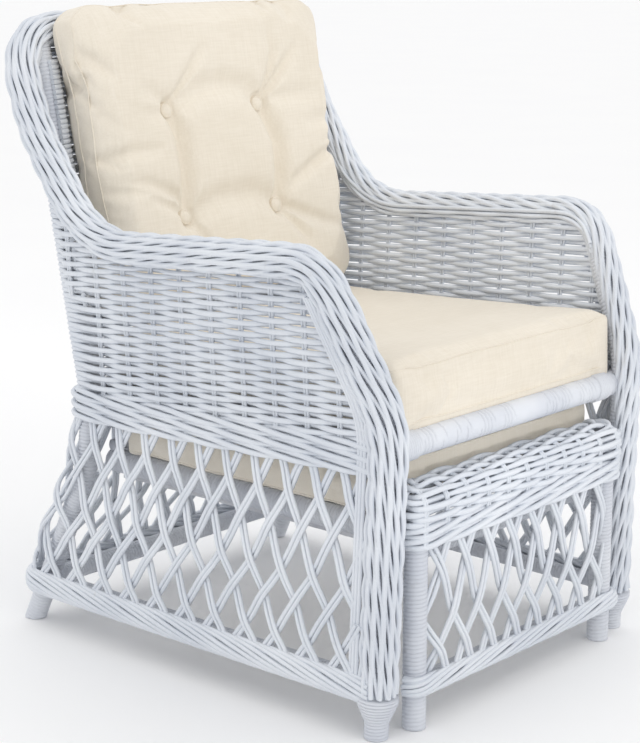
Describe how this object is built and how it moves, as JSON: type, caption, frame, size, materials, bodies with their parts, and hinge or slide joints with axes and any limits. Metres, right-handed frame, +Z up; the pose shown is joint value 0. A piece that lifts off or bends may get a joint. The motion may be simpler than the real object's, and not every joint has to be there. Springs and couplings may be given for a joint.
{
  "type": "rattan armchair with sliding footrest",
  "caption": "White rattan armchair with woven sides and back, open lattice skirt, buttoned cushions and a cushioned footrest that slides out from under the seat.",
  "frame": {"origin": "on the floor, in the middle of the chair's footprint with the footrest pushed in", "axes": "+Z up, the chair faces -Y, +X to the right as seen from the front"},
  "size_m": [0.6784, 0.764, 0.9448],
  "materials": {
    "woven_rattan": "satin",
    "rattan_pole": "satin",
    "cane_wrap": "satin",
    "painted_wood": "satin",
    "cushion_cloth": "matte"
  },
  "bodies": {
    "chair": {"arm_pole_left": "rattan_pole", "arm_pole_right": "rattan_pole", "back_cushion": "cushion_cloth", "back_cushion_buttons": "cushion_cloth", "back_hoop": "rattan_pole", "back_panel": "woven_rattan", "bottom_border_back": "woven_rattan", "bottom_border_left": "woven_rattan", "bottom_border_right": "woven_rattan", "bottom_rail_back": "cane_wrap", "bottom_rail_left": "cane_wrap", "bottom_rail_right": "cane_wrap", "foot_binding_left": "cane_wrap", "foot_binding_right": "cane_wrap", "footrest_bar": "cane_wrap", "footrest_runner_left": "painted_wood", "footrest_runner_right": "painted_wood", "front_seat_rail": "cane_wrap", "lattice_back": "woven_rattan", "lattice_left": "woven_rattan", "lattice_right": "woven_rattan", "rear_leg_left": "cane_wrap", "rear_leg_right": "cane_wrap", "rear_seat_rail": "cane_wrap", "rim_back": "woven_rattan", "rim_left": "woven_rattan", "rim_right": "woven_rattan", "runner_hangers": "painted_wood", "seat_cushion": "cushion_cloth", "seat_rail_bindings": "cane_wrap", "seat_side_rail_left": "cane_wrap", "seat_side_rail_right": "cane_wrap", "seat_slats": "painted_wood", "side_panel_left": "woven_rattan", "side_panel_right": "woven_rattan", "waist_border_back": "woven_rattan", "waist_border_left": "woven_rattan", "waist_border_right": "woven_rattan"},
    "footrest": {"footrest_apron": "woven_rattan", "footrest_bottom_border": "woven_rattan", "footrest_bottom_rail": "cane_wrap", "footrest_cushion": "cushion_cloth", "footrest_front_rail": "cane_wrap", "footrest_lattice": "woven_rattan", "footrest_leg_left": "cane_wrap", "footrest_leg_right": "cane_wrap", "footrest_rear_rail": "cane_wrap", "footrest_side_rail_left": "cane_wrap", "footrest_side_rail_right": "cane_wrap", "footrest_slats": "painted_wood", "footrest_stops": "painted_wood"}
  },
  "joints": [
    {"name": "footrest_slide", "type": "slide", "parent": "chair", "child": "footrest", "axis": [0, -1, 0], "range_m": [0, 0.42]}
  ]
}
